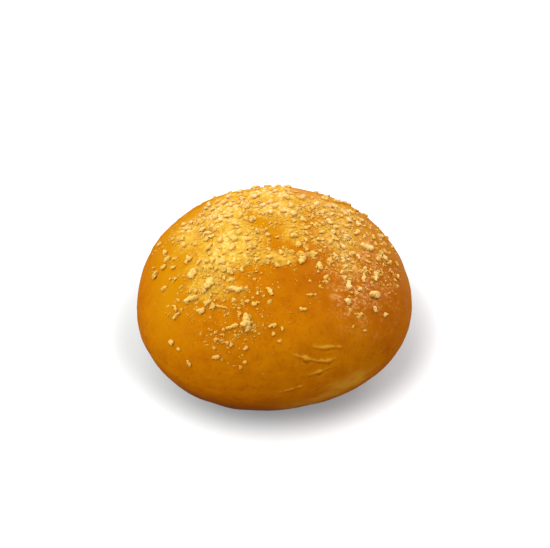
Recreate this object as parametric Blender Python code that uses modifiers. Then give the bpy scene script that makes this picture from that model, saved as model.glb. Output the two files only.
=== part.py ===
"""A round milk bun, egg-washed and baked with a crumb topping, standing on its flat base.

Metres, +Z up. The origin is on the table under the middle of the bun, and the side with the
stretch wrinkles faces -Y. The crust, the larger crumbs and the wrinkles are one solid.
"""

import math
import random

import bmesh
import bpy
from mathutils import Matrix, Vector, noise

MM = 0.001

# The bun: a dome above its widest ring, and a foot that draws in under it to the flat base.
BUN_RADIUS = 49.4 * MM
BUN_HEIGHT = 57.0 * MM
WIDEST_HEIGHT = 25.5 * MM
BASE_RADIUS = 29.0 * MM
DOME_FULLNESS = 2.13
FOOT_FULLNESS = 1.5

# How far the hand-shaped outline is from a circle: lobes, share of the radius, where one points.
OUTLINE_LOBES = (
    (2, 0.026, math.radians(17)),
    (3, 0.018, math.radians(-19)),
    (4, 0.013, math.radians(53)),
)
SWELL_HEIGHT = 0.8 * MM
SWELL_SPACING = 24.0 * MM
# The lobes push the outline's middle off the axis of turning, and this brings it back over the origin.
CENTRING = (-0.5 * MM, -0.6 * MM, 0.0)

# The turned crust has this many sides, and this many rings above and below its widest one.
CRUST_SIDES = 60
DOME_RINGS = 14
FOOT_RINGS = 6

# Crumbs fall from straight above, so their places are x and y in plan, from the axis of turning.
# Drifts: x, y, half width, half depth, and share of the scattered crumbs.
CRUMB_DRIFTS = (
    (-17 * MM, 15 * MM, 12 * MM, 13 * MM, 0.14),
    (-14 * MM, -3 * MM, 12 * MM, 11 * MM, 0.12),
    (-20 * MM, -12 * MM, 11 * MM, 7 * MM, 0.05),
    (-25 * MM, -20 * MM, 7 * MM, 5 * MM, 0.02),
    (-31 * MM, 7 * MM, 8 * MM, 12 * MM, 0.05),
    (3 * MM, 28 * MM, 25 * MM, 9 * MM, 0.15),
    (3 * MM, 15 * MM, 10 * MM, 6 * MM, 0.07),
    (9 * MM, 2 * MM, 7 * MM, 9 * MM, 0.035),
    (1 * MM, -11 * MM, 10 * MM, 4 * MM, 0.025),
    (24 * MM, 18 * MM, 15 * MM, 10 * MM, 0.10),
    (28 * MM, 4 * MM, 13 * MM, 13 * MM, 0.12),
    (28 * MM, -14 * MM, 13 * MM, 10 * MM, 0.03),
    (-11 * MM, -30 * MM, 11 * MM, 9 * MM, 0.02),
    (0 * MM, 0 * MM, 44 * MM, 44 * MM, 0.02),
)
# Bare spots that the drifts leave between them: x, y and radius.
BARE_SPOTS = (
    (-5 * MM, 6.5 * MM, 4 * MM),
    (-8.5 * MM, 12 * MM, 2.2 * MM),
    (0.5 * MM, 0.5 * MM, 3.2 * MM),
    (0.5 * MM, -5 * MM, 2.8 * MM),
    (12.5 * MM, -4.5 * MM, 3 * MM),
    (13 * MM, 31 * MM, 4 * MM),
    (5 * MM, -18 * MM, 4 * MM),
    (6 * MM, -25 * MM, 9 * MM),
    (18 * MM, -27 * MM, 7 * MM),
)
CRUMB_COUNT = 180
CRUMB_LARGEST = 3.0 * MM
CRUMB_SMALLEST = 1.4 * MM
CRUMB_SPACING = 0.62
CRUMB_REACH = 46.0 * MM
CRUMB_TRIES = 40
CRUMB_SEED = 11

# Lumps that stand out on their own: x, y, length, width, and where the length points.
LONE_LUMPS = (
    (-9.4 * MM, -33.7 * MM, 5.2 * MM, 4.4 * MM, math.radians(80)),
    (-13.9 * MM, -34.9 * MM, 4.8 * MM, 1.8 * MM, math.radians(25)),
    (-34.0 * MM, -24.2 * MM, 3.6 * MM, 2.0 * MM, math.radians(110)),
    (-33.4 * MM, -26.8 * MM, 3.2 * MM, 1.9 * MM, math.radians(40)),
    (-22.4 * MM, -20.0 * MM, 5.4 * MM, 3.8 * MM, math.radians(70)),
    (-28.2 * MM, -23.4 * MM, 5.6 * MM, 2.8 * MM, math.radians(5)),
    (-28.0 * MM, -13.9 * MM, 4.4 * MM, 3.4 * MM, math.radians(60)),
    (-12.8 * MM, -23.3 * MM, 5.4 * MM, 2.8 * MM, math.radians(-10)),
    (-24.6 * MM, -28.7 * MM, 3.4 * MM, 2.8 * MM, math.radians(20)),
    (-18.6 * MM, -28.2 * MM, 6.5 * MM, 1.4 * MM, math.radians(-20)),
    (-37.7 * MM, -2.2 * MM, 3.0 * MM, 2.6 * MM, math.radians(30)),
    (-38.6 * MM, -5.4 * MM, 2.6 * MM, 2.4 * MM, math.radians(70)),
    (-38.2 * MM, -14.6 * MM, 3.0 * MM, 1.9 * MM, math.radians(20)),
    (-30.6 * MM, 10.1 * MM, 3.8 * MM, 2.0 * MM, math.radians(-20)),
    (-35.2 * MM, -33.2 * MM, 2.6 * MM, 2.2 * MM, math.radians(-40)),
    (-28.9 * MM, -40.2 * MM, 2.8 * MM, 1.7 * MM, math.radians(80)),
    (-19.6 * MM, -41.6 * MM, 3.2 * MM, 1.7 * MM, math.radians(15)),
    (-9.4 * MM, -40.6 * MM, 2.2 * MM, 1.9 * MM, math.radians(50)),
    (-0.2 * MM, -35.0 * MM, 3.1 * MM, 1.7 * MM, math.radians(15)),
    (-1.2 * MM, -24.1 * MM, 3.8 * MM, 2.0 * MM, math.radians(115)),
    (12.7 * MM, -24.3 * MM, 2.6 * MM, 1.6 * MM, math.radians(10)),
    (10.3 * MM, -29.3 * MM, 3.1 * MM, 1.8 * MM, math.radians(5)),
    (10.0 * MM, -11.3 * MM, 3.8 * MM, 3.0 * MM, math.radians(75)),
    (16.1 * MM, -12.9 * MM, 3.4 * MM, 2.7 * MM, math.radians(120)),
    (26.1 * MM, -18.4 * MM, 4.0 * MM, 2.6 * MM, math.radians(100)),
    (35.2 * MM, -18.7 * MM, 4.8 * MM, 3.6 * MM, math.radians(35)),
    (35.5 * MM, -23.2 * MM, 2.5 * MM, 2.1 * MM, math.radians(-60)),
    (31.6 * MM, -13.7 * MM, 3.9 * MM, 2.1 * MM, math.radians(85)),
    (35.9 * MM, -10.9 * MM, 4.3 * MM, 2.3 * MM, math.radians(80)),
    (33.2 * MM, 1.3 * MM, 5.6 * MM, 2.8 * MM, math.radians(-5)),
    (44.3 * MM, 1.3 * MM, 2.6 * MM, 1.7 * MM, math.radians(-50)),
    (44.4 * MM, -4.8 * MM, 2.4 * MM, 1.8 * MM, math.radians(70)),
)
# Small lumps low on the front, given as the lone ones are.
FRONT_LUMPS = (
    (-32.4 * MM, -36.0 * MM, 2.0 * MM, 1.5 * MM, math.radians(-45)),
    (-14.4 * MM, -39.6 * MM, 1.9 * MM, 1.6 * MM, math.radians(60)),
    (-9.6 * MM, -43.6 * MM, 1.7 * MM, 1.5 * MM, math.radians(30)),
    (0.0 * MM, -37.2 * MM, 1.7 * MM, 1.4 * MM, math.radians(80)),
)

# Stretch wrinkles on the front: azimuth and height of the middle, length, and fall towards +X.
WRINKLES = (
    (math.radians(-64), 40.4 * MM, 13.0 * MM, 2.6 * MM),
    (math.radians(-73.7), 38.1 * MM, 14.0 * MM, 5.2 * MM),
    (math.radians(-65), 36.6 * MM, 7.5 * MM, 0.3 * MM),
    (math.radians(-70), 33.2 * MM, 13.0 * MM, -2.4 * MM),
    (math.radians(-82.8), 27.5 * MM, 12.0 * MM, -2.1 * MM),
)
WRINKLE_WIDTH = 1.8 * MM
WRINKLE_RISE = 0.4 * MM

CRUMB_SHARE_SHOWING = 0.68
CRUST_COLOUR = (0.66, 0.27, 0.02, 1.0)
CRUST_ROUGHNESS = 0.4


def clear_scene():
    for obj in list(bpy.data.objects):
        bpy.data.objects.remove(obj)


def outline_factor(azimuth):
    """How much wider than a circle the bun is in this direction."""
    lobes = (share * math.cos(count * (azimuth - facing)) for count, share, facing in OUTLINE_LOBES)
    return 1.0 + sum(lobes)


def shaped(radius, azimuth, height):
    """The point of the hand-shaped bun that stands for a point of the turned one."""
    wide = radius * outline_factor(azimuth)
    place = Vector((wide * math.cos(azimuth), wide * math.sin(azimuth), height))
    rise = min(height / WIDEST_HEIGHT, 1.0)
    place.z += SWELL_HEIGHT * rise * noise.noise(place / SWELL_SPACING)
    return place


def dome_height(across):
    """Height of the dome at this share of its radius."""
    up = max(1.0 - across**DOME_FULLNESS, 0.0) ** (1 / DOME_FULLNESS)
    return WIDEST_HEIGHT + (BUN_HEIGHT - WIDEST_HEIGHT) * up


def side_radius(height):
    """Radius of the turned bun at this height."""
    if height >= WIDEST_HEIGHT:
        up = min((height - WIDEST_HEIGHT) / (BUN_HEIGHT - WIDEST_HEIGHT), 1.0)
        return BUN_RADIUS * (1.0 - up**DOME_FULLNESS) ** (1 / DOME_FULLNESS)
    down = 1.0 - height / WIDEST_HEIGHT
    across = (1.0 - down**FOOT_FULLNESS) ** (1 / FOOT_FULLNESS)
    return BASE_RADIUS + (BUN_RADIUS - BASE_RADIUS) * across


def crust_above(x, y):
    """The point on the dome straight above a place in plan."""
    azimuth = math.atan2(y, x)
    across = math.hypot(x, y) / (BUN_RADIUS * outline_factor(azimuth))
    return shaped(BUN_RADIUS * across, azimuth, dome_height(across))


def crust_beside(azimuth, height):
    """The point on the bun's side in this direction, at this height."""
    return shaped(side_radius(height), azimuth, height)


def frame_on(surface, u, v, step_u, step_v):
    """A matrix on the crust at surface(u, v): X along u, Y across it and Z out of the crust."""
    along = (surface(u + step_u, v) - surface(u - step_u, v)).normalized()
    across = surface(u, v + step_v) - surface(u, v - step_v)
    outward = along.cross(across).normalized()
    frame = Matrix((along, outward.cross(along), outward)).transposed().to_4x4()
    frame.translation = surface(u, v)
    return frame


def superellipse(turn, fullness):
    """Across and up, each from 0 to 1, at a turn from 0 at the side to a quarter turn at the top."""
    power = 2.0 / fullness
    return max(math.cos(turn), 0.0) ** power, max(math.sin(turn), 0.0) ** power


def turned_profile():
    """Radius and height from the top of the dome down its outer side to the middle of the base."""
    points = []
    for ring in range(DOME_RINGS, 0, -1):
        across, up = superellipse(math.pi / 2 * ring / DOME_RINGS, DOME_FULLNESS)
        points.append((BUN_RADIUS * across, WIDEST_HEIGHT + (BUN_HEIGHT - WIDEST_HEIGHT) * up))
    points[0] = (0.0, BUN_HEIGHT)
    for ring in range(FOOT_RINGS + 1):
        across, down = superellipse(math.pi / 2 * ring / FOOT_RINGS, FOOT_FULLNESS)
        points.append((BASE_RADIUS + (BUN_RADIUS - BASE_RADIUS) * across, WIDEST_HEIGHT * (1.0 - down)))
    points.append((0.0, 0.0))
    return points


def crust_material():
    material = bpy.data.materials.new("egg_washed_crust")
    material.use_nodes = True
    shader = material.node_tree.nodes["Principled BSDF"]
    shader.inputs["Base Color"].default_value = CRUST_COLOUR
    shader.inputs["Roughness"].default_value = CRUST_ROUGHNESS
    shader.inputs["Metallic"].default_value = 0.0
    return material


def new_object(name, mesh, collection):
    obj = bpy.data.objects.new(name, mesh)
    collection.objects.link(obj)
    return obj


def with_modifiers_applied(obj):
    """The object, its mesh now what its modifiers made of it."""
    graph = bpy.context.evaluated_depsgraph_get()
    mesh = bpy.data.meshes.new_from_object(obj.evaluated_get(graph))
    obj.modifiers.clear()
    obj.data = mesh
    return obj


def build_body(collection):
    """The bun without its topping: a turned profile, then pulled out of round as hands leave it."""
    profile = turned_profile()
    mesh = bpy.data.meshes.new("bun")
    vertices = [(radius, 0.0, height) for radius, height in profile]
    mesh.from_pydata(vertices, [(i, i + 1) for i in range(len(vertices) - 1)], [])
    body = new_object("bun", mesh, collection)
    screw = body.modifiers.new("Turned", "SCREW")
    screw.steps = screw.render_steps = CRUST_SIDES
    screw.use_merge_vertices = True
    screw.merge_threshold = 0.01 * MM
    with_modifiers_applied(body)
    for vertex in body.data.vertices:
        x, y, z = vertex.co
        vertex.co = shaped(math.hypot(x, y), math.atan2(y, x), z)
    return body


def in_bare_spot(x, y):
    return any(math.hypot(x - bare_x, y - bare_y) < radius for bare_x, bare_y, radius in BARE_SPOTS)


def scatter_crumbs(draw):
    """Places and sizes of the scattered crumbs, largest first, clear of each other and of the bare spots."""
    taken = [(x, y, length) for x, y, length, *_ in LONE_LUMPS]
    shares = [drift[-1] for drift in CRUMB_DRIFTS]
    crumbs = []
    for rank in range(CRUMB_COUNT):
        shrink = (CRUMB_SMALLEST / CRUMB_LARGEST) ** (rank / (CRUMB_COUNT - 1))
        size = CRUMB_LARGEST * shrink
        for _ in range(CRUMB_TRIES):
            drift_x, drift_y, half_width, half_depth, _ = draw.choices(CRUMB_DRIFTS, shares)[0]
            x = draw.gauss(drift_x, half_width / 2)
            y = draw.gauss(drift_y, half_depth / 2)
            near = any(
                math.hypot(x - other_x, y - other_y) < CRUMB_SPACING * (size + other)
                for other_x, other_y, other in taken
            )
            if not near and not in_bare_spot(x, y) and math.hypot(x, y) < CRUMB_REACH:
                break
        else:
            continue
        length = size * draw.uniform(1.0, 1.3)
        width = size * draw.uniform(0.75, 1.0)
        crumbs.append((x, y, length, width, draw.uniform(0.0, math.pi)))
        taken.append((x, y, size))
    return crumbs


def crumb_mesh(crumb, draw):
    """A rough lump of baked crumb, pressed a little into the crust."""
    x, y, length, width, facing = crumb
    thick = 0.8 * width
    step = 0.2 * MM
    bm = bmesh.new()
    bmesh.ops.create_icosphere(bm, subdivisions=1, radius=0.5)
    for vertex in bm.verts:
        vertex.co *= draw.uniform(0.82, 1.18)
    sunk = Vector((0, 0, (CRUMB_SHARE_SHOWING - 0.5) * thick))
    lump = Matrix.Translation(sunk) @ Matrix.Rotation(facing, 4, "Z")
    lump = lump @ Matrix.Diagonal((length, width, thick, 1.0))
    bm.transform(frame_on(crust_above, x, y, step, step) @ lump)
    mesh = bpy.data.meshes.new("crumb")
    bm.to_mesh(mesh)
    bm.free()
    return mesh


def wrinkle_mesh(wrinkle):
    """A raised fold of crust, thin at both ends, that follows the bun's side."""
    azimuth, height, length, fall = wrinkle
    bm = bmesh.new()
    bmesh.ops.create_icosphere(bm, subdivisions=2, radius=1.0)
    turn = length / 2 / side_radius(height)
    for vertex in bm.verts:
        along, across, out = vertex.co
        place_azimuth = azimuth + along * turn
        place_height = height - along * fall / 2 + across * WRINKLE_WIDTH / 2
        frame = frame_on(crust_beside, place_azimuth, place_height, 0.01, 0.2 * MM)
        vertex.co = frame @ Vector((0, 0, out * WRINKLE_RISE))
    mesh = bpy.data.meshes.new("wrinkle")
    bm.to_mesh(mesh)
    bm.free()
    return mesh


def fuse(body, topping):
    """Joins the topping to the body, and removes the topping's own objects."""
    union = body.modifiers.new("Fused topping", "BOOLEAN")
    union.operation = "UNION"
    union.operand_type = "COLLECTION"
    union.collection = topping
    union.solver = "EXACT"
    with_modifiers_applied(body)
    for obj in list(topping.objects):
        bpy.data.objects.remove(obj)
    bpy.data.collections.remove(topping)


def keep_outer_skin(body):
    """Drops the loose scraps and sealed hollows that fusing leaves, which are shells of their own."""
    bm = bmesh.new()
    bm.from_mesh(body.data)
    left = set(bm.verts)
    shells = []
    while left:
        shell = set()
        edge_of_shell = [left.pop()]
        while edge_of_shell:
            vertex = edge_of_shell.pop()
            shell.add(vertex)
            near = {edge.other_vert(vertex) for edge in vertex.link_edges} & left
            left -= near
            edge_of_shell.extend(near)
        shells.append(shell)
    shells.sort(key=len)
    for shell in shells[:-1]:
        bmesh.ops.delete(bm, geom=list(shell), context="VERTS")
    bm.to_mesh(body.data)
    bm.free()


def main():
    clear_scene()
    bun = bpy.data.collections.new("bun")
    topping = bpy.data.collections.new("topping")
    for collection in (bun, topping):
        bpy.context.scene.collection.children.link(collection)
    draw = random.Random(CRUMB_SEED)
    body = build_body(bun)
    for crumb in [*LONE_LUMPS, *scatter_crumbs(draw), *FRONT_LUMPS]:
        new_object("crumb", crumb_mesh(crumb, draw), topping)
    for wrinkle in WRINKLES:
        new_object("wrinkle", wrinkle_mesh(wrinkle), topping)
    fuse(body, topping)
    keep_outer_skin(body)
    body.data.transform(Matrix.Translation(CENTRING))
    body.data.materials.clear()
    body.data.materials.append(crust_material())
    body.data.shade_smooth()
    body.data.set_sharp_from_angle(angle=math.radians(35))


if __name__ == "__main__":
    main()
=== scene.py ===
"""The looks of a round milk bun: its egg-washed crust, its baked crumb topping, and a plain stage.

Laid out as an add-on and run as a script. Metres, +Z up. The bun stands on the floor over the
origin, and the side with the stretch wrinkles faces -Y.
"""

import math
import random
from collections import namedtuple
from functools import partial

import bmesh
import bpy
from bpy.props import FloatProperty, FloatVectorProperty, IntProperty, PointerProperty
from mathutils import Euler, Matrix, Vector, noise
from mathutils.bvhtree import BVHTree


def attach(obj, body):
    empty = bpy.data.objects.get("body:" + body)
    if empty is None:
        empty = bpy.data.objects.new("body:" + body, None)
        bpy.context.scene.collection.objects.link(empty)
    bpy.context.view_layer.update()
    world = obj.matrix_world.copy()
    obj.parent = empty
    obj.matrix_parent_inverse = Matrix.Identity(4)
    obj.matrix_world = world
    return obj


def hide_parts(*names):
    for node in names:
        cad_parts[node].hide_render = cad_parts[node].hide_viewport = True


bl_info = {
    "name": "Crumb-topped milk bun",
    "version": (1, 0, 0),
    "blender": (4, 5, 0),
    "location": "3D View > Sidebar > Bun",
    "description": "Builds a round egg-washed bun with a crumb topping, and a plain stage for it",
    "category": "Object",
}

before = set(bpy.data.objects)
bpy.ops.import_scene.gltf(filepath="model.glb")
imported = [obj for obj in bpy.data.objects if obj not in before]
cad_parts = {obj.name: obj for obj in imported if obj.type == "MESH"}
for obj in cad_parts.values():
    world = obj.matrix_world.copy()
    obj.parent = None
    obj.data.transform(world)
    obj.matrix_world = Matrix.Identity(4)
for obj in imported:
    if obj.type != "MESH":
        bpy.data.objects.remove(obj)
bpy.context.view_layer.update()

MM = 0.001


def in_metres(*rows):
    """Rows of sizes in millimetres, each with a share or strength at its end, turned to metres."""
    return tuple((*(size * MM for size in sizes), share) for *sizes, share in rows)


def lumps_in_metres(*rows):
    """Rows of sizes in millimetres, each with an angle in degrees at its end, as metres and radians."""
    return tuple((*(size * MM for size in sizes), math.radians(facing)) for *sizes, facing in rows)


# The bun's form, as its solid has it: a dome above the widest ring, and a foot under it.
BUN_RADIUS = 49.4 * MM
BUN_HEIGHT = 57.0 * MM
WIDEST_HEIGHT = 25.5 * MM
BASE_RADIUS = 29.0 * MM
DOME_FULLNESS = 2.13
FOOT_FULLNESS = 1.5
# Lobes of the outline: how many, share of the radius, and where one points.
OUTLINE_LOBES = (
    (2, 0.026, math.radians(17)),
    (3, 0.018, math.radians(-19)),
    (4, 0.013, math.radians(53)),
)
SWELL_HEIGHT = 0.8 * MM
SWELL_SPACING = 24.0 * MM
CENTRING = (-0.5 * MM, -0.6 * MM, 0.0)

# The large crumbs lie where the solid has them. Places in plan are from the axis of turning.
# Drifts: x, y, half width, half depth, and share of the scattered crumbs.
CRUMB_DRIFTS = in_metres(
    (-17, 15, 12, 13, 0.14),
    (-14, -3, 12, 11, 0.12),
    (-20, -12, 11, 7, 0.05),
    (-25, -20, 7, 5, 0.02),
    (-31, 7, 8, 12, 0.05),
    (3, 28, 25, 9, 0.15),
    (3, 15, 10, 6, 0.07),
    (9, 2, 7, 9, 0.035),
    (1, -11, 10, 4, 0.025),
    (24, 18, 15, 10, 0.10),
    (28, 4, 13, 13, 0.12),
    (28, -14, 13, 10, 0.03),
    (-11, -30, 11, 9, 0.02),
    (0, 0, 44, 44, 0.02),
)
# Bare spots that the drifts leave between them: x, y and radius.
BARE_SPOTS = (
    (-5 * MM, 6.5 * MM, 4 * MM),
    (-8.5 * MM, 12 * MM, 2.2 * MM),
    (0.5 * MM, 0.5 * MM, 3.2 * MM),
    (0.5 * MM, -5 * MM, 2.8 * MM),
    (12.5 * MM, -4.5 * MM, 3 * MM),
    (13 * MM, 31 * MM, 4 * MM),
    (5 * MM, -18 * MM, 4 * MM),
    (6 * MM, -25 * MM, 9 * MM),
    (18 * MM, -27 * MM, 7 * MM),
)
# Places where only small crumbs lie thickly, given as the drifts are.
SMALL_CRUMB_DRIFTS = (
    *CRUMB_DRIFTS,
    *in_metres(
        (20, 3, 7, 12, 0.06),
        (26, -10, 11, 10, 0.05),
        (38, 3, 6, 12, 0.02),
        (-18, -23, 15, 9, 0.045),
        (-14, -37.5, 8, 5, 0.025),
    ),
)
SMALL_CRUMB_BARE_SPOTS = (*BARE_SPOTS, (11 * MM, 30 * MM, 6.5 * MM), (-38 * MM, 4 * MM, 5 * MM))
# The scattered crumbs: how many, how large, how far apart and how far out.
CRUMB_COUNT = 180
CRUMB_LARGEST = 3.0 * MM
CRUMB_SMALLEST = 1.4 * MM
CRUMB_SPACING = 0.62
CRUMB_REACH = 46.0 * MM
CRUMB_TRIES = 40
CRUMB_SEED = 11
CRUMB_SHARE_SHOWING = 0.68

# Lumps that stand out on their own: x, y, length, width, and where the length points.
LONE_LUMPS = lumps_in_metres(
    (-9.4, -33.7, 5.2, 4.4, 80),
    (-13.9, -34.9, 4.8, 1.8, 25),
    (-34.0, -24.2, 3.6, 2.0, 110),
    (-33.4, -26.8, 3.2, 1.9, 40),
    (-22.4, -20.0, 5.4, 3.8, 70),
    (-28.2, -23.4, 5.6, 2.8, 5),
    (-28.0, -13.9, 4.4, 3.4, 60),
    (-12.8, -23.3, 5.4, 2.8, -10),
    (-24.6, -28.7, 3.4, 2.8, 20),
    (-18.6, -28.2, 6.5, 1.4, -20),
    (-37.7, -2.2, 3.0, 2.6, 30),
    (-38.6, -5.4, 2.6, 2.4, 70),
    (-38.2, -14.6, 3.0, 1.9, 20),
    (-30.6, 10.1, 3.8, 2.0, -20),
    (-35.2, -33.2, 2.6, 2.2, -40),
    (-28.9, -40.2, 2.8, 1.7, 80),
    (-19.6, -41.6, 3.2, 1.7, 15),
    (-9.4, -40.6, 2.2, 1.9, 50),
    (-0.2, -35.0, 3.1, 1.7, 15),
    (-1.2, -24.1, 3.8, 2.0, 115),
    (12.7, -24.3, 2.6, 1.6, 10),
    (10.3, -29.3, 3.1, 1.8, 5),
    (10.0, -11.3, 3.8, 3.0, 75),
    (16.1, -12.9, 3.4, 2.7, 120),
    (26.1, -18.4, 4.0, 2.6, 100),
    (35.2, -18.7, 4.8, 3.6, 35),
    (35.5, -23.2, 2.5, 2.1, -60),
    (31.6, -13.7, 3.9, 2.1, 85),
    (35.9, -10.9, 4.3, 2.3, 80),
    (33.2, 1.3, 5.6, 2.8, -5),
    (44.3, 1.3, 2.6, 1.7, -50),
    (44.4, -4.8, 2.4, 1.8, 70),
)
# Small lumps low on the front, given as the lone ones are.
FRONT_LUMPS = lumps_in_metres(
    (-32.4, -36.0, 2.0, 1.5, -45),
    (-14.4, -39.6, 1.9, 1.6, 60),
    (-9.6, -43.6, 1.7, 1.5, 30),
    (0.0, -37.2, 1.7, 1.4, 80),
)

# Stretch wrinkles on the front: azimuth and height of the middle, length, and fall towards +X.
WRINKLES = (
    (math.radians(-64), 40.4 * MM, 13.0 * MM, 2.6 * MM),
    (math.radians(-73.7), 38.1 * MM, 14.0 * MM, 5.2 * MM),
    (math.radians(-65), 36.6 * MM, 7.5 * MM, 0.3 * MM),
    (math.radians(-70), 33.2 * MM, 13.0 * MM, -2.4 * MM),
    (math.radians(-82.8), 27.5 * MM, 12.0 * MM, -2.1 * MM),
)
WRINKLE_WIDTH = 1.1 * MM
# Pale places low on the front: x, y, height, reach and strength.
PALE_PLACES = in_metres(
    (28, -40, 23, 7.5, 1.8),
    (20, -44, 15, 8, 1.3),
    (8, -47, 13, 8, 1.1),
)
# Places where the egg wash dried to a gloss, and where the crust's colour gets a painted sheen: x, y, reach
# and strength.
GLOSS_PLACES = in_metres(
    (28, 6, 13, 1.0),
    (31, -13, 11, 1.0),
    (26, -24, 7, 0.9),
    (20, 16, 9, 0.8),
    (12, 31, 7, 2.2),
)

# The crust's mesh starts as a cube cut into a grid, and its rings are shared out over dome, foot and base.
CRUST_CUTS = 126
RING_SHARES = (0.62, 0.28, 0.10)
PROFILE_STEPS = 240
# The edge between foot and base is smoothed this many times, near this height and this far out.
EDGE_SMOOTHINGS = 8
BASE_EDGE_HEIGHT = 2.0 * MM
BASE_EDGE_SHARE = 0.85
# The hills fade out below this height, so that the base stays flat.
FLAT_BELOW = 6.0 * MM

# Share of the crumbs over area, times this, is how thickly they lie.
DRIFT_THICKNESS = 1000.0 * MM * MM
HILL_SPACING = 9.0 * MM
DIMPLE_SPACING = 3.2 * MM
# Sets where noise_vector is read. Without it Blender takes the clock, and each run differs.
NOISE_SEED = 7
LUMP_SPACING = 2.1 * MM
PATCH_SPACING = 4.5 * MM
SPECK_SPACING = 1.4 * MM
STRETCH_LENGTH = 9.0 * MM
STRETCH_SPACING = 1.7 * MM
# Within this height above the crust a crumb is made darker orange: painted shade where it meets the crust,
# with egg wash taken up there.
SOAK_AND_SHADE_HEIGHT = 1.2 * MM
# How thickly crumbs lie where the finest start to cover or dust the crust, and where they do so fully.
PASTE_COVER = (0.18, 0.66)
DUST_COVER = (0.02, 0.34)
# How much thicker the crumbs lie on the right and in front before the finest of them make a skin.
LOOSE_ON_RIGHT = 0.95
LOOSE_IN_FRONT = 0.34
LOOSER_LOW_IN_FRONT = 2.6
# The skin of the lumps: its grain, how rough it is, and how far it grows.
LUMP_VOXEL = 0.26 * MM
ROUGH_SPACING = 0.9 * MM
ROUGH_HEIGHT = 0.24 * MM
LUMP_GROWTH = 0.05 * MM
# A broken crumb has this many flat sides, which cut its ball of radius 0.5 between these reaches.
BREAKS = 3
BREAK_REACH = (0.24, 0.42)
# Small crumbs are built this many at a time.
CRUMBS_IN_BATCH = 40
ALL_AXES = {"use_axis_x": True, "use_axis_y": True, "use_axis_z": True}

# Where the crust changes: each pair is the place where a change starts and where it is full.
LOOSE_X = (4 * MM, 20 * MM)
LOOSE_FADES_Y = (10 * MM, 24 * MM)
LOOSE_FRONT_Y = (-10 * MM, -20 * MM)
LOOSER_FRONT_Y = (-24 * MM, -34 * MM)
STRETCHED_Z = (6 * MM, 22 * MM)
STRETCH_ENDS_Z = (34 * MM, 46 * MM)
# Browner from left to right: real browning, and painted shade on the side away from the key light.
MIDDLE_BROWNING_AND_SHADE_X = (-22 * MM, 20 * MM)
FRONT_BROWNED_Y = (-44 * MM, -25 * MM)
RIGHT_BROWNING_AND_SHADE_X = (24 * MM, 46 * MM)
RIGHT_BROWNING_AND_SHADE_Z = (16 * MM, 44 * MM)
# Painted shade: the crust is darker at the left rim.
PAINTED_SHADE_LEFT_RIM_X = (-43 * MM, -51 * MM)
# Painted shade, with some real browning: the crust is darker low down, most on the left.
LOW_PAINTED_SHADE_Z = (26 * MM, 2 * MM)
LOW_PAINTED_SHADE_X = (-20 * MM, 30 * MM)
# Painted light: the crust is lighter over the top towards the back left, where the key light falls, and
# where the crust is also less brown.
PAINTED_LIGHT_BACK_LEFT = (-16 * MM, 14 * MM)
PAINTED_LIGHT_ENDS_BACK_LEFT = (44 * MM, 57 * MM)
PAINTED_LIGHT_Z = (20 * MM, 42 * MM)
PAINTED_LIGHT_X = (-48 * MM, -37 * MM)
# Painted shade: a dark foot, most on the left.
SHADED_FOOT_Z = (27 * MM, 7 * MM)
SHADED_FOOT_X = (-10 * MM, 14 * MM)
BUTTERY_X = (-8 * MM, 12 * MM)
DUST_ENDS_BACK_LEFT = (38 * MM, 54 * MM)

# Where the crumbs change, given in the same way.
# Painted sheen: the crumbs are paler towards the back and the right, where the window light shines on them.
SHEEN_BACK_Y = (-6 * MM, 26 * MM)
SHEEN_RIGHT_X = (6 * MM, 28 * MM)
TOASTED_X = (-26 * MM, -44 * MM)
GLAZED_Y = (-35 * MM, -41 * MM)
PRESSED_DOWN_Y = (16 * MM, 32 * MM)
PATCHY_X = (-8 * MM, 14 * MM)

# How far apart the patterns in the materials have their features.
BROWNING_SPACING = 16 * MM
BLOTCH_SPACING = 5.5 * MM
TOASTING_SPACING = 2.6 * MM
FLECK_SPACING = 1.3 * MM
SHEEN_STREAK_SPACING = 1.1 * MM
DUST_SPACING = 1.0 * MM
GLEAM_SPACING = 0.9 * MM
WEAR_SPACING = 60 * MM


def outline_factor(azimuth):
    """How much wider than a circle the bun is in this direction."""
    lobes = (share * math.cos(count * (azimuth - facing)) for count, share, facing in OUTLINE_LOBES)
    return 1.0 + sum(lobes)


def shaped(radius, azimuth, height):
    """The point of the hand-shaped bun that stands for a point of the turned one."""
    wide = radius * outline_factor(azimuth)
    place = Vector((wide * math.cos(azimuth), wide * math.sin(azimuth), height))
    rise = min(height / WIDEST_HEIGHT, 1.0)
    place.z += SWELL_HEIGHT * rise * noise.noise(place / SWELL_SPACING)
    return place


def side_radius(height):
    """Radius of the turned bun at this height."""
    if height >= WIDEST_HEIGHT:
        up = min((height - WIDEST_HEIGHT) / (BUN_HEIGHT - WIDEST_HEIGHT), 1.0)
        return BUN_RADIUS * (1.0 - up**DOME_FULLNESS) ** (1 / DOME_FULLNESS)
    down = 1.0 - height / WIDEST_HEIGHT
    across = (1.0 - down**FOOT_FULLNESS) ** (1 / FOOT_FULLNESS)
    return BASE_RADIUS + (BUN_RADIUS - BASE_RADIUS) * across


def superellipse(turn, fullness):
    """Across and up, each from 0 to 1, at a turn from 0 at the side to a quarter turn at the top."""
    power = 2.0 / fullness
    return max(math.cos(turn), 0.0) ** power, max(math.sin(turn), 0.0) ** power


def evenly_spaced(points, count):
    """This many points at even steps along the line through these."""
    lengths = [0.0]
    for start, end in zip(points, points[1:]):
        lengths.append(lengths[-1] + math.dist(start, end))
    spaced = []
    reached = 0
    for step in range(count):
        target = lengths[-1] * step / (count - 1)
        while reached < len(points) - 2 and lengths[reached + 1] < target:
            reached += 1
        part = (target - lengths[reached]) / (lengths[reached + 1] - lengths[reached])
        start, end = points[reached], points[reached + 1]
        spaced.append(tuple(a + (b - a) * part for a, b in zip(start, end)))
    return spaced


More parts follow.
